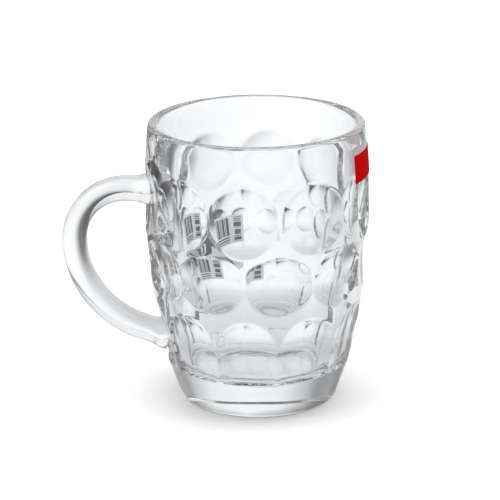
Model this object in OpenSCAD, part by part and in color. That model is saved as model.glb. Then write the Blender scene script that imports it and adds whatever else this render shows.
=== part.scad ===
// A dimpled glass beer mug: a pressed bowl, a handle stuck on hot at two roots, and two paper stickers.
// The origin is on the bowl's axis where it stands, and the handle points along -X.

/* [Bowl] */
// Height of the mug to the top of its rim
mug_h = 126; // [118:1:136]
// Largest radius of the bowl, over the ridges between the dimples
belly_r = 49.6; // [48:0.2:53]
// Distance from the rim down to the bowl's widest place
belly_drop = 36; // [30:1:42]
// Radius of the long curve that the outside follows from foot to rim
belly_bow = 300; // [280:5:400]
// Thickness of the rim, which is rounded over
lip_t = 4.2; // [3:0.2:5]
// Radius of the long curve that the inside follows from floor to rim
inside_bow = 620; // [560:10:900]
// Thickness of the glass under the drink
floor_t = 16; // [12:0.5:18]
// Radius where the inside wall turns into the floor
floor_corner = 6; // [4:0.5:10]

/* [Foot] */
// Height of the plain ring under the dimples
foot_h = 17.3; // [14:0.5:20]
// Radius at which the side of the ring would meet the table
foot_r = 34.7; // [34:0.1:36]
// Rounding between the side of the ring and the table
heel_r = 1.8; // [1.5:0.25:3]
// Radius of the hollow in the underside
hollow_r = 32.2; // [28:0.1:32.4]
// Depth of that hollow at its middle
hollow_d = 1; // [0.5:0.25:2]

/* [Dimples] */
// Dimples in each of the three rows
dimples_n = 10; // [9:1:12]
// Height of the middle of the top row, as a share of the mug's height
top_row_share = 0.74; // [0.73:0.002:0.75]
// Height of the middle of the middle row, as a share of the mug's height
mid_row_share = 0.516; // [0.5:0.002:0.53]
// Height of the deepest place of the bottom row, as a share of the mug's height
low_row_share = 0.25; // [0.23:0.01:0.26]
// Depth of the dimples of the top and middle rows, under the ridges
dimple_d = 3.3; // [2.8:0.1:3.8]
// Depth of the dimples of the bottom row
low_dimple_d = 3; // [2.6:0.1:3.4]
// Radius of a dimple's floor, round the bowl
across_r = 130; // [110:5:200]
// Radius of a dimple's floor, up and down the bowl
updown_r = 33; // [28:1:36]
// How round the top row's dimples are from top to bottom, as a radius
top_updown_r = 45; // [40:1:48]
// Radius of the arched top of a bottom row dimple, up the bowl
arch_r = 60; // [50:1:70]

/* [Handle] */
// Thickness of the handle, from the palm to the fingers
handle_t = 10.8; // [9:0.2:12]
// Width of the handle, along the fingers
handle_w = 14; // [12:0.5:16]
// Reach of the handle's middle line from the bowl's axis
handle_reach = 82.4; // [78:0.2:88]
// Height of the handle's middle line where it leaves the bowl at the top, as a share of the mug's height
handle_share = 0.742; // [0.72:0.002:0.76]
// Height of the handle's middle line at its lowest
handle_low_z = 26.8; // [25:0.1:29]
// Radius of the upper bend
upper_bend_r = 24.4; // [20:0.2:27]
// How much the handle swells at each root, all round
root_swell = 1.2; // [1:0.2:2.4]
// Length of that swelling outside the bowl
root_len = 5; // [3:0.5:7]

/* [Stickers] */
// Thickness of the sticker paper
paper_t = 0.2; // [0.1:0.05:0.4]
// Width of the red sticker round the bowl
red_w = 26.5; // [15:0.5:35]
// Height of the red sticker
red_h = 12.2; // [8:0.1:15]
// Distance from the red sticker's upper edge up to the rim
red_drop = 10.3; // [6:0.1:12]
// Direction of the red sticker's middle
red_dir = -8.3; // [-40:0.1:40]
// Width of the stock sticker round the inside of the bowl
stock_w = 35.5; // [20:0.5:44]
// Height of the stock sticker
stock_h = 27.5; // [20:0.5:40]
// Height of the stock sticker's lower edge
stock_z = 45; // [34:0.5:50]
// Direction of the stock sticker's middle
stock_dir = 133; // [100:1:150]

/* [Hidden] */
$fn = 120;
overrun = 6;
// The tool that presses a dimple, as shares of the dimple's depth and of the room for one dimple
tool_t_share = 2.2;
tool_w_share = 1.25;
belly_z = mug_h - belly_drop;
top_row_z = top_row_share * mug_h;
mid_row_z = mid_row_share * mug_h;
low_row_z = low_row_share * mug_h;
handle_z = handle_share * mug_h;
red_z = mug_h - red_drop - red_h;
lip_r = lip_t / 2;
lip_z = mug_h - lip_r;
outer_bow_x = belly_r - belly_bow;
lip_x = outer_bow_x + sqrt(pow(belly_bow - lip_r, 2) - pow(lip_z - belly_z, 2));
lip_lean = asin((lip_z - belly_z) / (belly_bow - lip_r));
inner_bow_x = lip_x - lip_r - inside_bow;
corner_z = floor_t + floor_corner;
corner_lean = asin((lip_z - corner_z) / (inside_bow - floor_corner));
corner_x = inner_bow_x + (inside_bow - floor_corner) * cos(corner_lean);
foot_top_r = outer_r(foot_h);
foot_lean = atan((foot_top_r - foot_r) / foot_h);
heel_x = foot_r + heel_r * tan(foot_lean) - heel_r / cos(foot_lean);
hollow_bow = (pow(hollow_r, 2) + pow(hollow_d, 2)) / (2 * hollow_d);
pitch = 360 / dimples_n;
handle_dir = 180;
handle_flat = handle_w - handle_t;
upper_bend_x = handle_reach - upper_bend_r;
bend_z = handle_z - upper_bend_r;
lower_sweep_r = bend_z - handle_low_z;
lower_sweep_x = handle_reach - lower_sweep_r;
upper_start = outer_r(handle_z) + root_len;
// Angle between the start of the lower root and the lowest point of the sweep
lower_start = width_angle(outer_r(handle_low_z) + root_len - lower_sweep_x, lower_sweep_r);
// Size of a root where it starts inside the handle, as a share of the handle's own
root_start_share = 0.88;
stock_r = inner_r(stock_z + stock_h / 2);

// Radius of the outside of the bowl at a height, over the ridges
function outer_r(z) = outer_bow_x + sqrt(pow(belly_bow, 2) - pow(z - belly_z, 2));
// Radius of the inside of the bowl at a height
function inner_r(z) = inner_bow_x + sqrt(pow(inside_bow, 2) - pow(z - lip_z, 2));
// Angle round the bowl that a width takes at a radius
function width_angle(w, r) = w / r * 180 / PI;

// Half section of the outside: the long curve, the foot ring with its rounded heel, and the rounded rim
module outside_section() {
    intersection() {
        translate([outer_bow_x, belly_z]) circle(r = belly_bow, $fn = 720);
        translate([0, foot_h]) square([belly_r, mug_h - foot_h]);
        translate([lip_x, lip_z]) rotate(lip_lean)
            translate([-belly_r, -mug_h]) square([2 * belly_r, mug_h]);
    }
    translate([0, belly_z]) square([lip_x, mug_h - belly_z]);
    translate([lip_x, lip_z]) circle(r = lip_r);
    polygon([
        [0, 0],
        [heel_x, 0],
        [heel_x + heel_r * cos(foot_lean), heel_r * (1 - sin(foot_lean))],
        [foot_top_r, foot_h],
        [0, foot_h],
    ]);
    translate([heel_x, heel_r]) circle(r = heel_r);
}

// Half section of the room inside: the long curve, the flat floor and the rounded corner between them
module inside_section() {
    intersection() {
        translate([inner_bow_x, lip_z]) circle(r = inside_bow, $fn = 1440);
        translate([corner_x, corner_z]) rotate(-corner_lean)
            translate([-belly_r, 0]) square([2 * belly_r, mug_h]);
        square([belly_r, lip_z]);
    }
    translate([0, floor_t]) square([corner_x, lip_z - floor_t]);
    translate([0, lip_z]) square([lip_x, lip_r + overrun]);
    translate([corner_x, corner_z]) circle(r = floor_corner);
}

module rim_section() {
    translate([lip_x, lip_z]) circle(r = lip_r);
}

// Section of the upper half of a dimple tool, whose near side is an arc
module half_tool_section(depth, arc_r) {
    intersection() {
        translate([across_r - arc_r, 0]) circle(r = arc_r, $fn = 360);
        translate([across_r - tool_t_share * depth, 0]) square([tool_t_share * depth, arc_r]);
    }
}

// A tool whose near side is a dimple: curved round the bowl by across_r, arched at its top, and below either
// arched alike or running straight down
module dimple_tool(z, depth, arc_r, straight_down = false) {
    lean = asin((belly_z - z) / belly_bow);
    sweep = tool_w_share * pitch * belly_r / across_r;
    translate([outer_r(z) - depth, 0, z]) rotate([0, lean, 0]) translate([across_r, 0, 0])
        rotate(180 - sweep / 2) rotate_extrude(angle = sweep) {
            half_tool_section(depth, arc_r);
            if (straight_down)
                translate([across_r - tool_t_share * depth, -z]) square([tool_t_share * depth, z]);
            else
                mirror([0, 1]) half_tool_section(depth, arc_r);
        }
}

// One dimple of each row, at its angle round the bowl
module top_dimple(i) {
    rotate(handle_dir + pitch * (i + 1 / 2)) dimple_tool(top_row_z, dimple_d, top_updown_r);
}

module mid_dimple(i) {
    rotate(handle_dir + pitch * i) dimple_tool(mid_row_z, dimple_d, updown_r);
}

module low_dimple(i) {
    rotate(handle_dir + pitch * (i + 1 / 2))
        dimple_tool(low_row_z, low_dimple_d, arch_r, straight_down = true);
}

// Presses the dimples of the numbers given into a round form, which keeps its plain foot ring
module pressed(numbers) {
    difference() {
        children();
        for (i = numbers) {
            top_dimple(i);
            mid_dimple(i);
            low_dimple(i);
        }
    }
    intersection() {
        children();
        cylinder(r = belly_r, h = foot_h);
    }
}

// The outside as one filled form, with only the dimples that the handle's roots reach
module form_at_handle() {
    difference() {
        rotate_extrude() outside_section();
        for (i = [-1, 0]) {
            top_dimple(i);
            low_dimple(i);
        }
    }
}

module handle_section() {
    for (side = [-1, 1]) translate([0, side * handle_flat / 2]) circle(d = handle_t);
    square([handle_t, handle_flat], center = true);
}

// A root along +Z: it starts inside the handle, swells out of it and runs on into the bowl
module root() {
    start = root_start_share * handle_t / 2;
    swollen = handle_t / 2 + root_swell;
    whole = root_len + 2 * overrun;
    for (side = [-1, 1]) translate([0, side * handle_flat / 2]) {
        cylinder(h = root_len, r1 = start, r2 = swollen);
        translate([0, 0, root_len]) cylinder(h = 2 * overrun, r = swollen);
    }
    rotate([90, 0, 0]) linear_extrude(handle_flat, center = true) polygon([
        [-start, 0],
        [start, 0],
        [swollen, root_len],
        [swollen, whole],
        [-swollen, whole],
        [-swollen, root_len],
    ]);
}

module glass_body() {
    color([0.86, 0.9, 0.92, 0.5]) difference() {
        pressed([0 : dimples_n - 1]) rotate_extrude() {
            difference() {
                outside_section();
                inside_section();
            }
            rim_section();
        }
        translate([0, 0, hollow_d - hollow_bow]) sphere(r = hollow_bow, $fn = 360);
    }
}

module handle() {
    color([0.9, 0.93, 0.95, 0.5]) difference() {
        rotate(handle_dir) {
            translate([upper_start, 0, handle_z]) rotate([0, -90, 0]) root();
            translate([upper_start - root_len / 2, 0, handle_z]) rotate([0, 90, 0])
                linear_extrude(upper_bend_x - upper_start + root_len / 2) handle_section();
            translate([upper_bend_x, 0, bend_z]) rotate([90, 0, 0])
                rotate_extrude(angle = 90) translate([upper_bend_r, 0]) handle_section();
            translate([lower_sweep_x, 0, bend_z]) rotate([90, 0, 0])
                rotate_extrude(angle = lower_start - 90 - width_angle(root_len / 2, lower_sweep_r))
                    translate([lower_sweep_r, 0]) handle_section();
            translate([lower_sweep_x, 0, bend_z]) rotate([0, 90 - lower_start, 0])
                translate([lower_sweep_r, 0, 0]) rotate([180, 0, 0]) root();
        }
        form_at_handle();
    }
}

module front_sticker() {
    angle = width_angle(red_w, outer_r(red_z));
    color([0.8, 0.02, 0.05]) rotate(red_dir - angle / 2) rotate_extrude(angle = angle) intersection() {
        translate([outer_bow_x, belly_z]) difference() {
            circle(r = belly_bow + paper_t, $fn = 720);
            circle(r = belly_bow, $fn = 720);
        }
        translate([0, red_z]) square([belly_r + paper_t, red_h]);
    }
}

module stock_sticker() {
    angle = width_angle(stock_w, stock_r);
    color([0.93, 0.93, 0.92]) rotate(stock_dir - angle / 2) rotate_extrude(angle = angle) intersection() {
        translate([inner_bow_x, lip_z]) difference() {
            circle(r = inside_bow, $fn = 1440);
            circle(r = inside_bow - paper_t, $fn = 1440);
        }
        translate([0, stock_z]) square([belly_r, stock_h]);
    }
}

glass_body();
handle();
front_sticker();
stock_sticker();
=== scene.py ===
"""The looks of a dimpled glass beer mug: a pressed bowl, a handle stuck on hot and two paper stickers."""
import math

import bpy
import numpy as np
from mathutils import Matrix, Vector


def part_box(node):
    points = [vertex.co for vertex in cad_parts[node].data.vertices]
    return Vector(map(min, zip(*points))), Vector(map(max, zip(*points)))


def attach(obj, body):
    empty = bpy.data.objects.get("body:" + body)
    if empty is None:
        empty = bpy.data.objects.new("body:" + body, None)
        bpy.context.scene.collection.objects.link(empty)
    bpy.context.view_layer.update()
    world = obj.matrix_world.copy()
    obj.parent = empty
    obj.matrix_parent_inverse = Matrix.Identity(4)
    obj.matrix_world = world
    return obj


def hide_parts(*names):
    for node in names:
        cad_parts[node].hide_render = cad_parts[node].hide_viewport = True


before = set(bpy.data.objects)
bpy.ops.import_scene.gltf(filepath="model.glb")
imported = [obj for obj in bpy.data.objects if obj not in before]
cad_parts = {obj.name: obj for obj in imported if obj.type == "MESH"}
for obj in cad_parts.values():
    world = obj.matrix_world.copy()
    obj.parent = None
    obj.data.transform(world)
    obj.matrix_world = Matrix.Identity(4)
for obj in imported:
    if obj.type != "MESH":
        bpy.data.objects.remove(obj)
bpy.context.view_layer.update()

# The bowl, in metres: the same curves as its solid has
MUG_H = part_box("glass_body")[1].z
BELLY_R = 0.0496
BELLY_Z = 0.090
BELLY_BOW = 0.300
LIP_R = 0.0021
INSIDE_BOW = 0.620
FLOOR_T = 0.016
FLOOR_CORNER = 0.006
FOOT_H = 0.0173
FOOT_R = 0.0347
HEEL_R = 0.0018
HOLLOW_R = 0.0322
HOLLOW_D = 0.001

# How its section is divided: the foot's edge, the foot ring, the step, the dimples and the plain band
HOLLOW_EDGE = 0.0006
STANDING_EDGE = 0.00001
FOOT_RING_SHARES = (0.2, 0.45, 0.7, 0.88)
STEP_BELOW = 0.0003
STEP_ABOVE = 0.0009
ROWS_START = 0.0015
ROWS_END = 0.112
BAND_START = 0.1135
UNDERSIDE_POINTS = 5
HEEL_POINTS = 9
STEP_POINTS = 7
ROWS_POINTS = 165
BAND_POINTS = 4
ROUND_POINTS = 11
INSIDE_POINTS = 20
FLOOR_POINTS = 4

# How close two points count as one: in a piece, and along the weld
MERGE = 1e-6
SEAM_MERGE = 2e-7

# The dimples: ten in each row, and the middle row stands between the other two
DIMPLES = 10
PITCH = 2 * math.pi / DIMPLES
COLUMNS_PER_PITCH = 40
ACROSS_R = 0.130
RIDGE_ROUNDING = 0.0004
STEP_ROUNDING = 0.0004
ROWS = [
    {"z": 0.09324, "depth": 0.0033, "up": 0.045, "down": 0.045, "turn": PITCH / 2},
    {"z": 0.0650, "depth": 0.0033, "up": 0.033, "down": 0.033, "turn": 0},
    {"z": 0.0315, "depth": 0.0030, "up": 0.060, "down": 0.150, "turn": PITCH / 2},
]

# How they are pressed: the thinnest wall they are pressed into, how many pitches each reaches to a side,
# how much of its torus is used, and how often its floor is worked out again
WALL_LEAST = 0.002
DIMPLE_SHARE = 0.9
FLOOR_SHARE = 0.98
FLOOR_ROUNDS = 8

# The handle: its middle line lies in the plane of the bowl's axis, on the -X side
HANDLE_T = 0.0108
HANDLE_W = 0.0140
HANDLE_REACH = 0.0824
HANDLE_Z = 0.0935
UPPER_BEND_R = 0.0244
LOWER_SWEEP_R = 0.0423
ROOT_SWELL = 0.0012
SWELL_CURVE = 2.6
ROOT_LEN = 0.008
HANDLE_DIR = math.pi

# How far its two ends are drawn on into the bowl before they are cut to it, and how it is divided
UPPER_END = 0.0050
LOWER_END = 0.0035
OUTLINE_POINTS = 42
ROOT_STEPS = 8
BEND_STEPS = 26
SWEEP_STEPS = 40

# The stickers: direction of the middle, lower edge, width and height
RED_STICKER = {"dir": math.radians(-8.3), "z": 0.1035, "w": 0.0265, "h": 0.0122}
STOCK_STICKER = {"dir": math.radians(133), "z": 0.045, "w": 0.0355, "h": 0.0275}
PAPER_T = 0.0002
GLUE_DEPTH = 0.00004
SHEET_COLUMNS = 28
SHEET_ROWS = 24

# The least angle at a cut edge of the paper, and how squarely a face has to look back to be its back
CUT_EDGE = math.radians(40)
BACK_LEAN = 0.5

# The marks on the pale sticker, as shares of its width from the left and of its height from below
LONG_BARS_SHARES = {"left": 0.02, "right": 0.52, "low": 0.31, "high": 0.92}
SIDE_BARS_SHARES = [
    {"left": 0.69, "right": 0.93, "low": 0.52, "high": 0.93},
    {"left": 0.69, "right": 0.93, "low": 0.06, "high": 0.26},
]
BLOCK_SHARES = {"left": 0.71, "right": 0.91, "low": 0.30, "high": 0.47}
RULES_SHARES = {"left": 0.03, "right": 0.50, "low": 0.06, "high": 0.27}

# How many bars and gaps go on the whole sheet, and what share of the gaps is filled
LONG_BARS = 40
LONG_BARS_FILLED_SHARE = 0.22
SIDE_BARS = 30
SIDE_BARS_FILLED_SHARE = 0.15
RULES = 24

# The finishes
GLASS_TINT = (0.964, 0.979, 0.994, 1)
GLASS_IOR = 1.52
PAPER_IOR = 1.1
PAPER_MOTTLE = 0.08
RED = (0.70, 0.0, 0.0)
RED_PAPER_BACK = (0.80, 0.70, 0.70)
WHITE = (0.80, 0.80, 0.79)
WHITE_PAPER_BACK = (0.74, 0.73, 0.71)
INK = (0.14, 0.14, 0.15, 1)

# The table: its size and how far it lies under the mug, in metres, and the white of its sheet
FLOOR_SIZE = 12
FLOOR_GAP = 0.0002
FLOOR_WHITE = 0.86

# Its tone from 0 to TABLE_REACH away, to both sides of a line left of the mug's axis, and to the front:
# darker outwards, a painted falloff of light
TABLE_REACH = 0.5
STRIP_LEFT = 0.01
SIDE_TONES = [(0.06, 1.0), (0.20, 0.88), (0.40, 0.70), (0.55, 0.5), (0.80, 0.28)]
FRONT_TONES = [(0.26, 1.0), (0.95, 0.65)]

# Its dark corner behind the handle, a patch of painted shade, by metres to the back and to the left, with an
# edge that leans
CORNER_START = [(0.02, 0.0), (0.16, 1.0)]
CORNER_SIDE = [(0.07, 0.0), (0.13, 0.8)]
CORNER_LEAN = 0.2

# How much it is brightened from 0 to LIFT_REACH away, where it is seen directly and in the glass. Seen
# directly it is lifted to white outside a painted contact shadow, centred a little in front of the axis,
# over the real shadow. In the glass it shows painted light: a glow under the mug, a painted shadow round it
# and a brighter table further out
LIFT_REACH = 0.2
PAINTED_SHADOW_FORWARD = 0.008
SHOWN_WHITE_AND_PAINTED_SHADOW = [(0.0, 0.2), (0.15, 0.13), (0.20, 0.30), (0.27, 0.46), (0.50, 0.62), (0.90, 1.0)]
GLASS_PAINTED_LIGHT_AND_SHADE = [
    (0.0, 0.60),
    (0.14, 0.60),
    (0.18, 0.14),
    (0.28, 0.12),
    (0.40, 0.03),
    (0.55, 0.09),
    (0.75, 0.27),
    (1.0, 0.33),
]

# The studio's brightness by the sine of a direction's height, and by how far it points aside or forward
HEIGHT_BANDS = [(0.0, 0.95), (0.45, 1.0), (0.70, 0.12), (1.0, 0.06)]
WALL_SLANT = 0.3
WALL_COLOUR = (0.98, 0.99, 1, 1)
WALL_TONES = [(0.05, 1.0), (0.30, 0.92), (0.50, 0.60), (0.62, 0.30), (0.80, 0.30), (0.92, 0.03)]
ROOM_TONES = [(0.0, 1.0), (0.15, 0.22)]
WORLD_LIGHT = 0.55
LAMP_SIZE = 2.0

# How often light may pass or leave a surface
GLASS_BOUNCES = 28
OTHER_BOUNCES = 16

lip_z = MUG_H - LIP_R
outer_bow_x = BELLY_R - BELLY_BOW
lip_x = outer_bow_x + math.sqrt((BELLY_BOW - LIP_R) ** 2 - (lip_z - BELLY_Z) ** 2)
lip_lean = math.asin((lip_z - BELLY_Z) / (BELLY_BOW - LIP_R))
inner_bow_x = lip_x - LIP_R - INSIDE_BOW
corner_z = FLOOR_T + FLOOR_CORNER
corner_lean = math.asin((lip_z - corner_z) / (INSIDE_BOW - FLOOR_CORNER))
corner_x = inner_bow_x + (INSIDE_BOW - FLOOR_CORNER) * math.cos(corner_lean)


def outer_r(z):
    """Radius of the outside over the ridges, at a height or at many."""
    return outer_bow_x + np.sqrt(BELLY_BOW ** 2 - (z - BELLY_Z) ** 2)


def inner_r(z):
    """Radius of the inside at a height or at many."""
    return inner_bow_x + np.sqrt(INSIDE_BOW ** 2 - (z - lip_z) ** 2)


def arc(centre, radius, start, end, steps):
    """Points of an arc in the section plane, from one angle to another."""
    x, z = centre
    return [(x + radius * math.cos(a), z + radius * math.sin(a)) for a in np.linspace(start, end, steps)]


def only_selected(piece):
    bpy.ops.object.select_all(action="DESELECT")
    piece.select_set(True)
    bpy.context.view_layer.objects.active = piece


def edit(piece):
    only_selected(piece)
    bpy.ops.object.mode_set(mode="EDIT")
    bpy.ops.mesh.select_all(action="SELECT")


def leave_edit():
    bpy.ops.object.mode_set(mode="OBJECT")


def name_piece(name):
    piece = bpy.context.object
    piece.name = name
    piece.data.name = name
    return piece


def close_up(piece):
    """Merges what a spin left double and turns every face outwards."""
    edit(piece)
    bpy.ops.mesh.remove_doubles(threshold=MERGE)
    bpy.ops.mesh.select_all(action="SELECT")
    bpy.ops.mesh.normals_make_consistent(inside=False)
    leave_edit()


# The bowl's section and its spin


def bowl_section():
    """The bowl's half section, from the middle of the underside round the rim to the middle of the floor."""
    hollow_bow = (HOLLOW_R ** 2 + HOLLOW_D ** 2) / (2 * HOLLOW_D)
    foot_top_r = float(outer_r(FOOT_H))
    foot_lean = math.atan((foot_top_r - FOOT_R) / FOOT_H)
    heel_x = FOOT_R + HEEL_R * math.tan(foot_lean) - HEEL_R / math.cos(foot_lean)
    points = []
    for x in np.linspace(0, HOLLOW_R - HOLLOW_EDGE, UNDERSIDE_POINTS):
        points.append((x, HOLLOW_D - hollow_bow + math.sqrt(hollow_bow ** 2 - x ** 2)))
    points.append((HOLLOW_R, STANDING_EDGE))
    points += arc((heel_x, HEEL_R), HEEL_R, -math.pi / 2, -foot_lean, HEEL_POINTS)
    heel_top = np.array(points[-1])
    foot_top = np.array((foot_top_r, FOOT_H))
    for share in FOOT_RING_SHARES:
        points.append(tuple(heel_top * (1 - share) + foot_top * share))
    heights = [
        np.linspace(FOOT_H - STEP_BELOW, FOOT_H + STEP_ABOVE, STEP_POINTS),
        np.linspace(FOOT_H + ROWS_START, ROWS_END, ROWS_POINTS),
        np.linspace(BAND_START, lip_z + LIP_R * math.sin(lip_lean), BAND_POINTS),
    ]
    for z in np.concatenate(heights):
        points.append((float(outer_r(z)), float(z)))
    points += arc((lip_x, lip_z), LIP_R, lip_lean, math.pi, ROUND_POINTS)[1:]
    corner_top = corner_z - FLOOR_CORNER * math.sin(corner_lean)
    for z in np.linspace(lip_z, corner_top, INSIDE_POINTS)[1:]:
        points.append((float(inner_r(z)), float(z)))
    points += arc((corner_x, corner_z), FLOOR_CORNER, -corner_lean, -math.pi / 2, ROUND_POINTS)[1:]
    for x in np.linspace(corner_x, 0, FLOOR_POINTS)[1:]:
        points.append((float(x), FLOOR_T))
    return points


def draw_section(points):
    """A line drawn point by point: one vertex, extruded from each point to the next."""
    bpy.ops.object.select_all(action="DESELECT")
    bpy.ops.mesh.primitive_plane_add(size=1, location=(0, 0, 0))
    bpy.ops.object.mode_set(mode="EDIT")
    bpy.ops.mesh.select_all(action="SELECT")
    bpy.ops.mesh.merge(type="CENTER")
    here = Vector((0, 0, 0))
    for step, (x, z) in enumerate(points):
        there = Vector((x, 0, z))
        if step == 0:
            bpy.ops.transform.translate(value=there - here)
        else:
            bpy.ops.mesh.extrude_region_move(TRANSFORM_OT_translate={"value": there - here})
        here = there


def dimple_floor(across, z, row):
    """Radius of a dimple's floor, which is part of a torus, at angles across it and at heights."""
    lean = math.asin((BELLY_Z - row["z"]) / BELLY_BOW)
    middle = float(outer_r(row["z"])) - row["depth"]
    cos, sin = np.cos(across), np.sin(across)
    dz = z - row["z"]
    r = middle / cos
    for _ in range(FLOOR_ROUNDS):
        dx = r * cos - middle
        up = math.sin(lean) * dx + math.cos(lean) * dz
        bend = np.where(up > 0, row["up"], row["down"])
        rise = bend - np.sqrt(np.clip(bend ** 2 - up ** 2, 0, None))
        swing = np.clip(ACROSS_R - rise, 0, None)
        out = ACROSS_R - np.sqrt(np.clip(swing ** 2 - (r * sin) ** 2, 0, None))
        r = (middle + (out + math.sin(lean) * dz) / math.cos(lean)) / cos
    return np.where(np.abs(up) < FLOOR_SHARE * bend, r, BELLY_R * 2)


def rounded_least(a, b, rounding):
    """The smaller of two radii, with the corner between them rounded."""
    h = np.clip(0.5 + 0.5 * (b - a) / rounding, 0, 1)
    return b * (1 - h) + a * h - rounding * h * (1 - h)


def press_dimples(piece):
    """Presses the three rows of dimples into the outside wall, down to the step over the foot ring."""
    mesh = piece.data
    co = np.empty(len(mesh.vertices) * 3)
    mesh.vertices.foreach_get("co", co)
    co = co.reshape(-1, 3)
    around = np.arctan2(co[:, 1], co[:, 0])
    plain = np.hypot(co[:, 0], co[:, 1])
    z = co[:, 2]
    outside = (z > FOOT_H) & (z < lip_z) & (plain > inner_r(z) + WALL_LEAST)
    pressed = plain[outside]
    height = z[outside]
    for row in ROWS:
        for number in range(DIMPLES):
            middle = HANDLE_DIR + row["turn"] + PITCH * number
            across = (around[outside] - middle + math.pi) % (2 * math.pi) - math.pi
            near = np.abs(across) < DIMPLE_SHARE * PITCH
            floor = dimple_floor(across[near], height[near], row)
            pressed[near] = rounded_least(pressed[near], floor, RIDGE_ROUNDING)
    over_step = np.clip((height - FOOT_H) / STEP_ROUNDING, 0, 1)
    over_step = over_step * over_step * (3 - 2 * over_step)
    new_r = plain[outside] + (pressed - plain[outside]) * over_step
    co[outside, 0] = new_r * np.cos(around[outside])
    co[outside, 1] = new_r * np.sin(around[outside])
    mesh.vertices.foreach_set("co", co.reshape(-1))
    mesh.update()


def make_bowl():
    draw_section(bowl_section())
    leave_edit()
    bowl = name_piece("bowl")
    bpy.ops.object.modifier_add(type="SCREW")
    turn = bowl.modifiers[-1]
    turn.steps = DIMPLES * COLUMNS_PER_PITCH
    turn.render_steps = turn.steps
    turn.use_merge_vertices = True
    turn.merge_threshold = MERGE
    bpy.ops.object.modifier_apply(modifier=turn.name)
    close_up(bowl)
    press_dimples(bowl)
    bpy.ops.object.shade_smooth()
    return bowl


# The handle


def swell(share):
    """How much thicker a root is than the handle, from its outer end (0) to the bowl (1)."""
    return ROOT_SWELL * share ** SWELL_CURVE


def make_handle():
    """A section with flat sides, pulled out of the bowl, round both bends and back into the bowl."""
    half_t, half_w = HANDLE_T / 2, HANDLE_W / 2
    inside_x = BELLY_R - UPPER_END
    wall_x = BELLY_R
    bend_x = HANDLE_REACH - UPPER_BEND_R
    sweep_x = HANDLE_REACH - LOWER_SWEEP_R
    bend_z = HANDLE_Z - UPPER_BEND_R
    bpy.ops.object.select_all(action="DESELECT")
    bpy.ops.mesh.primitive_circle_add(
        vertices=OUTLINE_POINTS,
        radius=1,
        fill_type="NGON",
        location=(-inside_x, 0, HANDLE_Z),
        rotation=(0, math.pi / 2, 0),
    )
    handle = name_piece("glass_handle")
    bpy.ops.object.transform_apply(location=True, rotation=True, scale=True)
    flat_share = (HANDLE_W - HANDLE_T) / HANDLE_W
    for v in handle.data.vertices:
        v.co.y = v.co.y * (1 - flat_share) + math.copysign(flat_share, v.co.y)
    bpy.ops.object.mode_set(mode="EDIT")
    bpy.ops.mesh.select_all(action="SELECT")
    here_t, here_w = half_t + ROOT_SWELL, half_w + ROOT_SWELL
    middle = Vector((-inside_x, 0, HANDLE_Z))
    bpy.ops.transform.resize(value=(1, here_w, here_t), center_override=middle)

    def pull(step, t, w):
        nonlocal here_t, here_w, middle
        bpy.ops.mesh.extrude_region_move(TRANSFORM_OT_translate={"value": step})
        middle = middle + Vector(step)
        bpy.ops.transform.resize(value=(1, w / here_w, t / here_t), center_override=middle)
        here_t, here_w = t, w

    pull((inside_x - wall_x, 0, 0), here_t, here_w)
    for share in np.linspace(1, 0, ROOT_STEPS + 1)[1:]:
        pull((-ROOT_LEN / ROOT_STEPS, 0, 0), half_t + swell(share), half_w + swell(share))
    pull((wall_x + ROOT_LEN - bend_x, 0, 0), half_t, half_w)
    bpy.ops.mesh.spin(
        steps=BEND_STEPS,
        angle=math.pi / 2,
        center=(-bend_x, 0, bend_z),
        axis=(0, 1, 0),
    )
    lower_wall = float(outer_r(bend_z - LOWER_SWEEP_R))
    root_angle = math.asin((lower_wall + ROOT_LEN - sweep_x) / LOWER_SWEEP_R)
    bpy.ops.mesh.spin(
        steps=SWEEP_STEPS,
        angle=math.pi / 2 - root_angle,
        center=(-sweep_x, 0, bend_z),
        axis=(0, 1, 0),
    )
    end_x = sweep_x + LOWER_SWEEP_R * math.sin(root_angle)
    end_z = bend_z - LOWER_SWEEP_R * math.cos(root_angle)
    end = Vector((-end_x, 0, end_z))
    along = Vector((math.cos(root_angle), 0, -math.sin(root_angle)))
    turn = Matrix.Rotation(root_angle, 4, "Y")
    here_t, here_w = half_t, half_w
    for share in list(np.linspace(0, 1, ROOT_STEPS + 1)[1:]) + [1]:
        t, w = half_t + swell(share), half_w + swell(share)
        length = ROOT_LEN / ROOT_STEPS if share < 1 or here_t < t else LOWER_END
        bpy.ops.mesh.extrude_region_move(TRANSFORM_OT_translate={"value": along * length})
        end = end + along * length
        bpy.ops.transform.resize(
            value=(1, w / here_w, t / here_t),
            center_override=end,
            orient_type="GLOBAL",
            orient_matrix=turn.to_3x3(),
            orient_matrix_type="GLOBAL",
        )
        here_t, here_w = t, w
    leave_edit()
    close_up(handle)
    bpy.ops.object.shade_smooth()
    return handle


# The stickers


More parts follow.
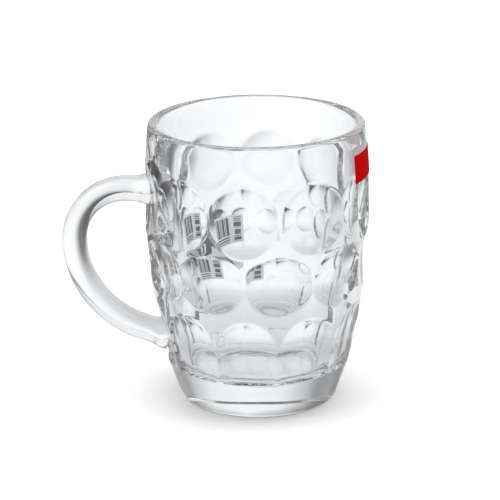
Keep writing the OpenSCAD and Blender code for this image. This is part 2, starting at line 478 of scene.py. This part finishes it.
def make_sticker(name, sticker, radius, outward):
    """A sheet of paper, wrapped on the glass and given its thickness."""
    bpy.ops.object.select_all(action="DESELECT")
    bpy.ops.mesh.primitive_grid_add(
        x_subdivisions=SHEET_COLUMNS,
        y_subdivisions=SHEET_ROWS,
        size=1,
    )
    piece = name_piece(name)
    piece.data.uv_layers[0].name = "UVMap"
    edit(piece)
    bpy.ops.transform.resize(value=(sticker["w"], sticker["h"], 1))
    leave_edit()
    sink = PAPER_T / 2 - GLUE_DEPTH
    middle_z = sticker["z"] + sticker["h"] / 2
    middle_r = float(radius(middle_z))
    for v in piece.data.vertices:
        z = middle_z + v.co.y
        r = float(radius(z)) + (sink if outward else -sink)
        a = sticker["dir"] + (v.co.x if outward else -v.co.x) / middle_r
        v.co = (r * math.cos(a), r * math.sin(a), z)
    edit(piece)
    bpy.ops.mesh.normals_make_consistent(inside=False)
    leave_edit()
    only_selected(piece)
    bpy.ops.object.modifier_add(type="SOLIDIFY")
    thickness = piece.modifiers[-1]
    thickness.thickness = PAPER_T
    thickness.offset = 0
    bpy.ops.object.modifier_apply(modifier=thickness.name)
    close_up(piece)
    bpy.ops.object.shade_smooth_by_angle(angle=CUT_EDGE)
    return piece


# The weld between the handle and the bowl


def whole_copy(piece, name, material):
    twin = piece.copy()
    twin.data = piece.data.copy()
    twin.name = name
    bpy.context.scene.collection.objects.link(twin)
    twin.data.materials.clear()
    twin.data.materials.append(material)
    return twin


def combine(piece, tool, operation):
    only_selected(piece)
    bpy.ops.object.modifier_add(type="BOOLEAN")
    modifier = piece.modifiers[-1]
    modifier.operation = operation
    modifier.solver = "EXACT"
    modifier.material_mode = "TRANSFER"
    modifier.object = tool
    bpy.ops.object.modifier_apply(modifier=modifier.name)


def select_material(piece, material, wanted=True):
    """Selects, in edit mode, the faces that have a material, or all the others."""
    edit(piece)
    bpy.ops.mesh.select_all(action="DESELECT")
    leave_edit()
    slot = list(piece.data.materials).index(material)
    for face in piece.data.polygons:
        face.select = (face.material_index == slot) == wanted
    bpy.ops.object.mode_set(mode="EDIT")
    bpy.ops.mesh.select_mode(type="FACE")


def weld(bowl, handle, seam):
    """Cuts the handle's ends to the bowl and draws them on it, so that both share the weld's faces."""
    bowl_tool = whole_copy(bowl, "bowl_tool", seam)
    handle_tool = whole_copy(handle, "handle_tool", seam)
    combine(handle, bowl_tool, "DIFFERENCE")
    combine(bowl, handle_tool, "UNION")
    select_material(bowl, seam)
    bpy.ops.mesh.delete(type="FACE")
    leave_edit()
    caps = handle.copy()
    caps.data = handle.data.copy()
    bpy.context.scene.collection.objects.link(caps)
    select_material(caps, seam, wanted=False)
    bpy.ops.mesh.delete(type="FACE")
    bpy.ops.mesh.select_all(action="SELECT")
    bpy.ops.mesh.flip_normals()
    leave_edit()
    only_selected(bowl)
    caps.select_set(True)
    bpy.ops.object.join()
    edit(bowl)
    bpy.ops.mesh.remove_doubles(threshold=SEAM_MERGE)
    leave_edit()
    for tool in (bowl_tool, handle_tool):
        bpy.data.objects.remove(tool)
    for piece in (bowl, handle):
        slot = list(piece.data.materials).index(seam)
        sides = {}
        for face in piece.data.polygons:
            for key in face.edge_keys:
                sides.setdefault(key, set()).add(face.material_index == slot)
        for edge in piece.data.edges:
            edge.use_edge_sharp = len(sides.get(edge.key, ())) > 1


# Materials


def new_material(name):
    material = bpy.data.materials.new(name)
    material.use_nodes = True
    nodes = material.node_tree.nodes
    return material, nodes, material.node_tree.links, nodes["Principled BSDF"]


def ramp_node(nodes, links, value, stops):
    """A value turned into another by straight steps between stops, whose places go from 0 to 1."""
    ramp = nodes.new("ShaderNodeValToRGB")
    points = ramp.color_ramp.elements
    while len(points) < len(stops):
        points.new(0.5)
    for point, (place, level) in zip(points, stops):
        point.position = place
        point.color = (level, level, level, 1)
    links.new(value, ramp.inputs["Fac"])
    return ramp.outputs["Color"]


def math_node(nodes, links, kind, a, b=None):
    node = nodes.new("ShaderNodeMath")
    node.operation = kind
    for socket, value in zip(node.inputs, (a, b)):
        if isinstance(value, (int, float)):
            socket.default_value = value
        elif value is not None:
            links.new(value, socket)
    return node.outputs["Value"]


def pressed_glass():
    """Clear soda-lime glass with the slight waves that a mould and the fire polish leave."""
    material, nodes, links, surface = new_material("pressed_glass")
    surface.inputs["Base Color"].default_value = GLASS_TINT
    surface.inputs["Roughness"].default_value = 0.0
    surface.inputs["IOR"].default_value = GLASS_IOR
    surface.inputs["Transmission Weight"].default_value = 1
    place = nodes.new("ShaderNodeTexCoord")
    waves = nodes.new("ShaderNodeTexNoise")
    waves.inputs["Scale"].default_value = 55
    waves.inputs["Detail"].default_value = 1.5
    waves.inputs["Roughness"].default_value = 0.4
    bump = nodes.new("ShaderNodeBump")
    bump.inputs["Strength"].default_value = 0.4
    bump.inputs["Distance"].default_value = 0.0003
    links.new(place.outputs["Object"], waves.inputs["Vector"])
    links.new(waves.outputs["Fac"], bump.inputs["Height"])
    links.new(bump.outputs["Normal"], surface.inputs["Normal"])
    return material


def weld_seam():
    """Where the handle and the bowl have melted together nothing bends the light."""
    material, nodes, links, surface = new_material("weld_seam")
    clear = nodes.new("ShaderNodeBsdfTransparent")
    links.new(clear.outputs["BSDF"], nodes["Material Output"].inputs["Surface"])
    nodes.remove(surface)
    return material


def turn_back(piece, material, outward):
    """Gives the side of a sheet that is glued to the glass the bare paper."""
    piece.data.materials.append(material)
    for face in piece.data.polygons:
        away = face.normal.x * face.center.x + face.normal.y * face.center.y
        length = math.hypot(face.center.x, face.center.y)
        if away * (1 if outward else -1) < -BACK_LEAN * length:
            face.material_index = 1


def sticker_paper(name, colour, roughness, pattern=None, glow=0):
    """Coated sticker paper: fibres under the coat, a pattern printed on it if one is given, and a painted
    glow if one is given, which stands in for light coming through the glass.
    """
    material, nodes, links, surface = new_material(name)
    surface.inputs["Roughness"].default_value = roughness
    surface.inputs["IOR"].default_value = PAPER_IOR
    place = nodes.new("ShaderNodeTexCoord")
    fibres = nodes.new("ShaderNodeTexNoise")
    fibres.inputs["Scale"].default_value = 2500
    fibres.inputs["Detail"].default_value = 3
    links.new(place.outputs["Object"], fibres.inputs["Vector"])
    tone = nodes.new("ShaderNodeMix")
    tone.data_type = "RGBA"
    links.new(fibres.outputs["Fac"], tone.inputs["Factor"])
    tone.inputs["A"].default_value = (*[c * (1 - PAPER_MOTTLE) for c in colour], 1)
    tone.inputs["B"].default_value = (*[c * (1 + PAPER_MOTTLE) for c in colour], 1)
    colour_out = tone.outputs["Result"]
    if pattern:
        colour_out = pattern(nodes, links, colour_out)
    links.new(colour_out, surface.inputs["Base Color"])
    # The glow is painted light in the paper's own colour, for the light that reaches it through the glass
    links.new(colour_out, surface.inputs["Emission Color"])
    surface.inputs["Emission Strength"].default_value = glow
    bump = nodes.new("ShaderNodeBump")
    bump.inputs["Strength"].default_value = 0.2
    bump.inputs["Distance"].default_value = 0.00002
    links.new(fibres.outputs["Fac"], bump.inputs["Height"])
    links.new(bump.outputs["Normal"], surface.inputs["Normal"])
    return material


def stock_marks(nodes, links, paper):
    """Blocks of bars, some upright and some lying, with rules under them, on the sheet's own map."""
    uv = nodes.new("ShaderNodeUVMap")
    uv.uv_map = "UVMap"
    split = nodes.new("ShaderNodeSeparateXYZ")
    links.new(uv.outputs["UV"], split.inputs["Vector"])
    u, v = split.outputs["X"], split.outputs["Y"]

    def within(value, low, high):
        over = math_node(nodes, links, "GREATER_THAN", value, low)
        return math_node(nodes, links, "MULTIPLY", over, math_node(nodes, links, "LESS_THAN", value, high))

    def block(shares):
        across = within(u, shares["left"], shares["right"])
        return math_node(nodes, links, "MULTIPLY", across, within(v, shares["low"], shares["high"]))

    def bars(value, count, filled):
        """Even bars across the sheet, with a share of the gaps between them filled."""
        noise = nodes.new("ShaderNodeTexWhiteNoise")
        noise.noise_dimensions = "1D"
        cell = math_node(nodes, links, "FLOOR", math_node(nodes, links, "MULTIPLY", value, count))
        links.new(cell, noise.inputs["W"])
        wide = math_node(nodes, links, "LESS_THAN", noise.outputs["Value"], filled)
        return math_node(nodes, links, "MAXIMUM", math_node(nodes, links, "MODULO", cell, 2), wide)

    def barred(shares, value, count, filled):
        return math_node(nodes, links, "MULTIPLY", block(shares), bars(value, count, filled))

    marks = [barred(shares, v, SIDE_BARS, SIDE_BARS_FILLED_SHARE) for shares in SIDE_BARS_SHARES]
    marks.append(barred(LONG_BARS_SHARES, u, LONG_BARS, LONG_BARS_FILLED_SHARE))
    marks.append(barred(RULES_SHARES, v, RULES, 0))
    ink = block(BLOCK_SHARES)
    for mark in marks:
        ink = math_node(nodes, links, "MAXIMUM", ink, mark)
    printed = nodes.new("ShaderNodeMix")
    printed.data_type = "RGBA"
    links.new(ink, printed.inputs["Factor"])
    links.new(paper, printed.inputs["A"])
    printed.inputs["B"].default_value = INK
    return printed.outputs["Result"]


# The stage, the light and the camera


def seen_in_glass(nodes, links):
    """1 for what a reflection or the glass shows, and 0 for the rest."""
    path = nodes.new("ShaderNodeLightPath")
    reflected = path.outputs["Is Glossy Ray"]
    passed = path.outputs["Is Transmission Ray"]
    return math_node(nodes, links, "MAXIMUM", reflected, passed)


def seen_directly(nodes):
    return nodes.new("ShaderNodeLightPath").outputs["Is Camera Ray"]


def pale_floor():
    """A table with a white sheet, darker to the sides, to the front and in a corner behind the handle:
    painted falloff of light and painted shade. Seen directly it keeps its real shadow with a narrow painted
    contact shadow round the mug, and beyond it is plain white. In the glass it shows painted light and
    shadow round the mug.
    """
    bpy.ops.object.select_all(action="DESELECT")
    bpy.ops.mesh.primitive_plane_add(size=FLOOR_SIZE, location=(0, 0, -FLOOR_GAP))
    floor = name_piece("floor")
    material, nodes, links, surface = new_material("pale_floor")

    def math_of(kind, a, b=None):
        return math_node(nodes, links, kind, a, b)

    place = nodes.new("ShaderNodeTexCoord")
    split = nodes.new("ShaderNodeSeparateXYZ")
    links.new(place.outputs["Object"], split.inputs["Vector"])
    x, y = split.outputs["X"], split.outputs["Y"]
    # The sheet's tone is painted shade: it falls off to the sides and to the front, and darkens in a corner
    # behind the handle
    to_side = math_of("DIVIDE", math_of("ABSOLUTE", math_of("ADD", x, STRIP_LEFT)), TABLE_REACH)
    to_front = math_of("DIVIDE", math_of("MULTIPLY", y, -1), TABLE_REACH)
    by_side = ramp_node(nodes, links, to_side, SIDE_TONES)
    behind = ramp_node(nodes, links, y, CORNER_START)
    to_left = math_of("MULTIPLY", math_of("ADD", x, math_of("MULTIPLY", y, CORNER_LEAN)), -1)
    corner = math_of("MULTIPLY", behind, ramp_node(nodes, links, to_left, CORNER_SIDE))
    in_front = ramp_node(nodes, links, to_front, FRONT_TONES)
    lit = math_of("MULTIPLY", in_front, math_of("SUBTRACT", 1, corner))
    sheet = math_of("MULTIPLY", by_side, lit)
    round_x = math_of("MULTIPLY", x, x)
    from_axis = math_of("SQRT", math_of("ADD", round_x, math_of("MULTIPLY", y, y)))
    forward = math_of("ADD", y, PAINTED_SHADOW_FORWARD)
    from_painted_shadow = math_of("SQRT", math_of("ADD", round_x, math_of("MULTIPLY", forward, forward)))
    links.new(math_of("MULTIPLY", sheet, FLOOR_WHITE), surface.inputs["Base Color"])
    surface.inputs["Roughness"].default_value = 0.7
    surface.inputs["Specular IOR Level"].default_value = 0.1
    surface.inputs["Emission Color"].default_value = (1, 1, 1, 1)
    # The emission: seen directly it lifts the table to white outside a painted contact shadow; seen in the
    # glass it is painted light and shadow round the mug
    shown = ramp_node(nodes, links, math_of("DIVIDE", from_painted_shadow, LIFT_REACH), SHOWN_WHITE_AND_PAINTED_SHADOW)
    in_glass = ramp_node(nodes, links, math_of("DIVIDE", from_axis, LIFT_REACH), GLASS_PAINTED_LIGHT_AND_SHADE)
    for_camera = math_of("MULTIPLY", shown, seen_directly(nodes))
    for_glass = math_of("MULTIPLY", in_glass, math_of("MULTIPLY", seen_in_glass(nodes, links), sheet))
    white_lift_and_painted_shade = math_of("ADD", for_camera, for_glass)
    links.new(white_lift_and_painted_shade, surface.inputs["Emission Strength"])
    floor.data.materials.append(material)


def studio_world():
    """A studio with a white wall behind the mug and a dark room above, beside and in front of it."""
    world = bpy.data.worlds.new("studio")
    bpy.context.scene.world = world
    world.use_nodes = True
    nodes, links = world.node_tree.nodes, world.node_tree.links
    place = nodes.new("ShaderNodeTexCoord")
    split = nodes.new("ShaderNodeSeparateXYZ")
    links.new(place.outputs["Generated"], split.inputs["Vector"])
    to_side = math_node(nodes, links, "ABSOLUTE", split.outputs["X"])
    slant = math_node(nodes, links, "MULTIPLY", to_side, WALL_SLANT)
    height = math_node(nodes, links, "ADD", split.outputs["Z"], slant)
    by_height = ramp_node(nodes, links, height, HEIGHT_BANDS)
    by_side = ramp_node(nodes, links, to_side, WALL_TONES)
    to_front = math_node(nodes, links, "MULTIPLY", split.outputs["Y"], -1)
    in_front = ramp_node(nodes, links, to_front, ROOM_TONES)
    level = math_node(nodes, links, "MULTIPLY", by_side, in_front)
    shown = nodes["Background"]
    links.new(math_node(nodes, links, "MULTIPLY", by_height, level), shown.inputs["Strength"])
    shown.inputs["Color"].default_value = WALL_COLOUR
    even = nodes.new("ShaderNodeBackground")
    even.inputs["Color"].default_value = (1, 1, 1, 1)
    even.inputs["Strength"].default_value = WORLD_LIGHT
    choice = nodes.new("ShaderNodeMixShader")
    seen = math_node(nodes, links, "MAXIMUM", seen_directly(nodes), seen_in_glass(nodes, links))
    links.new(seen, choice.inputs["Fac"])
    links.new(even.outputs["Background"], choice.inputs[1])
    links.new(shown.outputs["Background"], choice.inputs[2])
    links.new(choice.outputs["Shader"], nodes["World Output"].inputs["Surface"])


def soft_lamp(name, place, power):
    bpy.ops.object.light_add(type="AREA", location=place)
    lamp = bpy.context.object
    lamp.name = name
    lamp.data.size = LAMP_SIZE
    lamp.data.energy = power
    to_mug = Vector((0, 0, MUG_H / 2)) - Vector(place)
    lamp.rotation_euler = to_mug.to_track_quat("-Z", "Y").to_euler()


def photo_camera():
    """The camera stands in front of the bowl, a little round to the right, and looks down on it."""
    distance = 1.0249
    tilt = math.radians(18.0145)
    focal = 2303.4
    picture_width = 500
    sensor_width = 36
    shift_right = 7.5113
    shift_up = 6.928
    roll = math.radians(-0.5967)
    round_bowl = Matrix.Rotation(math.radians(6.9), 4, "Z")
    middle = Vector((0, 0, MUG_H / 2))
    place = middle + Vector((0, -math.cos(tilt), math.sin(tilt))) * distance
    ahead = Vector((0, math.cos(tilt), -math.sin(tilt)))
    right = Vector((1, 0, 0))
    up = right.cross(ahead)
    aim = middle - right * (shift_right / focal * distance) + up * (shift_up / focal * distance)
    bpy.ops.object.camera_add()
    camera = bpy.context.object
    camera.name = "camera"
    facing = (aim - place).to_track_quat("-Z", "Y").to_matrix() @ Matrix.Rotation(roll, 3, "Z")
    camera.matrix_world = round_bowl @ Matrix.Translation(place) @ facing.to_4x4()
    camera.data.sensor_width = sensor_width
    camera.data.lens = focal / picture_width * sensor_width
    camera.data.clip_start = 0.01
    bpy.context.scene.camera = camera


bowl = make_bowl()
handle = make_handle()
red_sticker = make_sticker("red_sticker", RED_STICKER, outer_r, outward=True)
stock_sticker = make_sticker("stock_label", STOCK_STICKER, inner_r, outward=False)

glass = pressed_glass()
seam = weld_seam()
bowl.data.materials.append(glass)
handle.data.materials.append(glass)
red_face = sticker_paper("red_coated_paper", RED, roughness=0.8)
# The red sticker's back and the pale sticker's face are seen through the glass and get a painted glow
red_back = sticker_paper("red_paper_back", RED_PAPER_BACK, roughness=0.9, glow=0.3)
stock_face = sticker_paper("white_coated_paper", WHITE, roughness=0.5, pattern=stock_marks, glow=0.36)
stock_back = sticker_paper("bare_paper_back", WHITE_PAPER_BACK, roughness=0.9)
red_sticker.data.materials.append(red_face)
stock_sticker.data.materials.append(stock_face)
turn_back(red_sticker, red_back, outward=True)
turn_back(stock_sticker, stock_back, outward=False)
weld(bowl, handle, seam)

for piece, node, slot in [
    (bowl, "glass_body", "glass"),
    (handle, "handle", "glass"),
    (red_sticker, "front_sticker", "red_paper"),
    (stock_sticker, "stock_sticker", "white_paper"),
]:
    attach(piece, "root")
    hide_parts(node)

pale_floor()
studio_world()
soft_lamp("left_lamp", (-1.8, -0.6, 1.8), power=22)
soft_lamp("right_lamp", (1.9, 0.3, 1.7), power=20)
photo_camera()

scene = bpy.context.scene
scene.view_settings.view_transform = "Standard"
scene.cycles.max_bounces = GLASS_BOUNCES
scene.cycles.transmission_bounces = GLASS_BOUNCES
scene.cycles.glossy_bounces = OTHER_BOUNCES
scene.cycles.transparent_max_bounces = OTHER_BOUNCES
